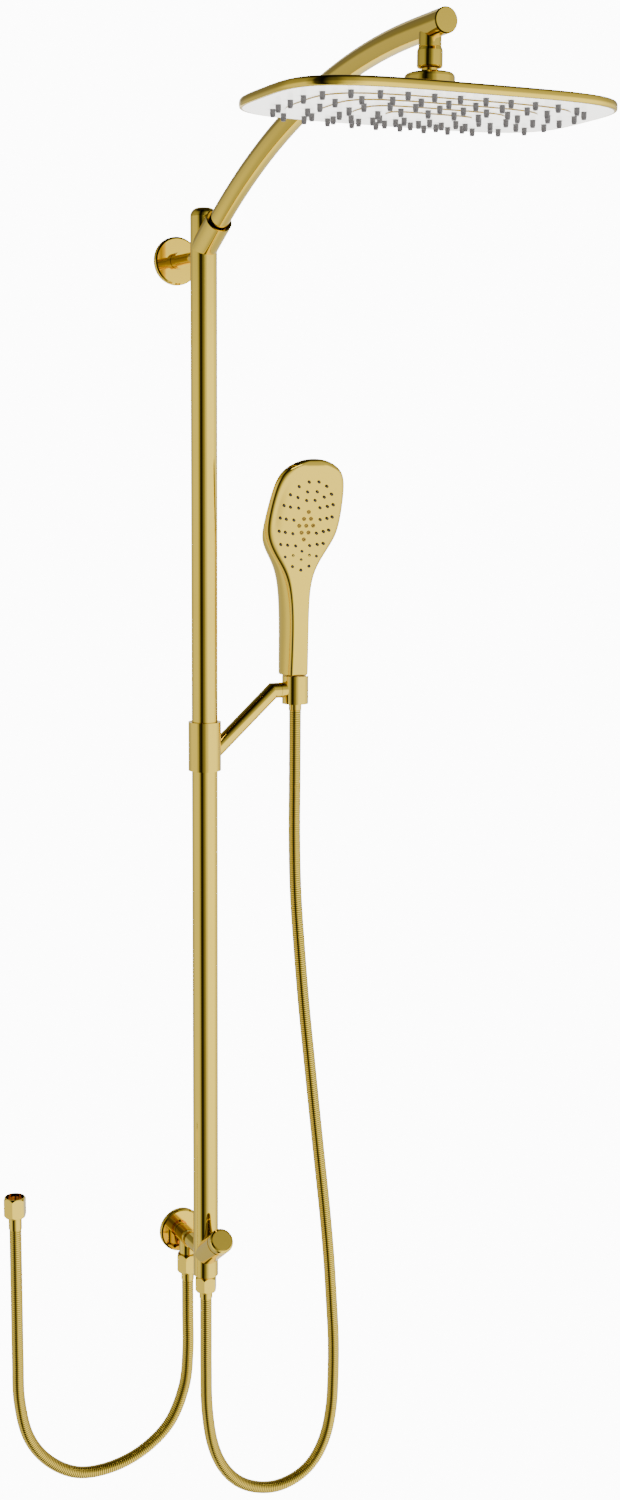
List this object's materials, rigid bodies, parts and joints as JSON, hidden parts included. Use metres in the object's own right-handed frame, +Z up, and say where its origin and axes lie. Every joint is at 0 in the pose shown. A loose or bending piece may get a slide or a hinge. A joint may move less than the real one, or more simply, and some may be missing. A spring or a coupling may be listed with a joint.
{
  "type": "rainfall shower column",
  "caption": "Gold wall-mounted rainfall shower column with a curved overhead arm, rounded rain head, sliding hand shower, diverter and two flexible hoses.",
  "frame": {"origin": "centre of the lower wall flange's back face, on the wall plane", "axes": "+Z up along the rail, +Y into the wall, +X to the right when facing the wall"},
  "size_m": [0.388, 0.633, 1.5571],
  "materials": {
    "gold_metal": "polished",
    "gold_flange": "polished",
    "gold_hose": "polished, ribbed",
    "gold_plastic": "mirror-plated",
    "raw_brass": "turned",
    "steel": "plain",
    "black_rubber": "matte",
    "white_plastic": "matte",
    "black_plastic": "satin",
    "pearl_plate": "gloss",
    "grey_silicone": "matte"
  },
  "bodies": {
    "column": {"upper_wall_plate": "steel", "upper_flange": "gold_flange", "upper_standoff": "gold_metal", "lower_wall_plate": "steel", "lower_flange": "gold_flange", "inlet_elbow": "gold_metal", "standoff_grub_screws": "steel", "rail_tube": "gold_metal", "rail_top_cap": "gold_metal", "arm_socket": "gold_metal", "socket_grub_screw": "steel", "shower_arm": "gold_metal", "arm_o_rings": "black_rubber", "arm_tee": "gold_metal", "arm_end_cap": "gold_metal", "ball_nut": "gold_metal", "filter_washer": "black_rubber", "diverter_body": "gold_metal", "diverter_cartridge": "white_plastic", "cartridge_ring": "raw_brass", "diverter_outlet": "raw_brass", "handset_hose": "gold_hose", "hose_hex_nut": "gold_metal", "hose_ferrule": "gold_metal", "hose_washers": "black_rubber", "inlet_hose": "gold_hose", "inlet_hose_nut": "gold_metal", "inlet_ferrules": "gold_metal"},
    "ball_seat": {"ball_upper_seat": "white_plastic"},
    "ball_seal": {"ball_lower_seal": "black_rubber"},
    "rain_head": {"ball_collar": "gold_metal", "ball_cup": "raw_brass", "head_top_shell": "gold_metal", "head_spray_plate": "pearl_plate", "head_nozzle_mat": "grey_silicone"},
    "slide_bush": {"slider_bush": "white_plastic", "bush_o_rings": "black_rubber"},
    "slider": {"slider_sleeve": "gold_metal", "sleeve_end_ring": "gold_metal", "slider_arm": "gold_metal", "tilt_washer": "steel"},
    "holder": {"holder_ring": "gold_metal", "holder_liner": "black_plastic", "tilt_pin": "raw_brass"},
    "hose_end": {"hose_swivel_end": "gold_metal"},
    "handset": {"hose_cone_nut": "gold_metal", "handset_washer": "black_rubber", "handset_inlet": "raw_brass", "handset_back_shell": "gold_plastic", "handset_face_plate": "gold_plastic", "handset_nozzles": "black_plastic", "handset_centre_nozzles": "gold_plastic", "handset_waterway": "white_plastic", "selector_spring": "steel"},
    "selector_button": {"selector_button": "gold_plastic"},
    "diverter_knob": {"diverter_spindle": "raw_brass", "diverter_knob": "gold_metal", "knob_screw": "steel", "knob_cap": "gold_metal"},
    "inlet_nut": {"inlet_free_nut": "gold_metal"}
  },
  "joints": [
    {"name": "slide_on_rail", "type": "slide", "parent": "column", "child": "slide_bush", "axis": [0, 0, 1], "range_m": [-0.45, 0.45], "deforming": ["handset_hose"]},
    {"name": "swing_round_rail", "type": "hinge", "parent": "slide_bush", "child": "slider", "pos_m": [0, -0.077, 0.58], "axis": [0, 0, 1], "range_deg": [-40, 15], "deforming": ["handset_hose"]},
    {"name": "holder_tilt", "type": "hinge", "parent": "slider", "child": "holder", "pos_m": [0.089, -0.077, 0.6355], "axis": [1, 0, 0], "range_deg": [-30, 30], "deforming": ["handset_hose"]},
    {"name": "lift_from_holder", "type": "slide", "parent": "holder", "child": "hose_end", "axis": [0, 0, 1], "range_m": [0, 0.08], "deforming": ["handset_hose"]},
    {"name": "handset_turn", "type": "hinge", "parent": "hose_end", "child": "handset", "pos_m": [0.108, -0.077, 0.634], "axis": [0, 0, 1], "continuous": true},
    {"name": "selector_press", "type": "slide", "parent": "handset", "child": "selector_button", "axis": [0, -0.9304, -0.3665], "range_m": [0, 0.0025], "stiffness_N_per_m": 600, "springref_m": -0.003, "deforming": ["selector_spring"]},
    {"name": "head_turn", "type": "hinge", "parent": "column", "child": "ball_seat", "pos_m": [0, -0.5465, 1.189], "axis": [0, 0, 1], "continuous": true},
    {"name": "head_nod", "type": "hinge", "parent": "ball_seat", "child": "ball_seal", "pos_m": [0, -0.5465, 1.189], "axis": [1, 0, 0], "range_deg": [-8, 8]},
    {"name": "head_roll", "type": "hinge", "parent": "ball_seal", "child": "rain_head", "pos_m": [0, -0.5465, 1.189], "axis": [0, 1, 0], "range_deg": [-8, 8]},
    {"name": "diverter_turn", "type": "hinge", "parent": "column", "child": "diverter_knob", "pos_m": [0, -0.077, 0], "axis": [0, -0.809, 0.5878], "range_deg": [0, 90]},
    {"name": "inlet_nut_turn", "type": "hinge", "parent": "column", "child": "inlet_nut", "pos_m": [-0.206, -0.023, 0.06], "axis": [0, 0, 1], "continuous": true}
  ]
}
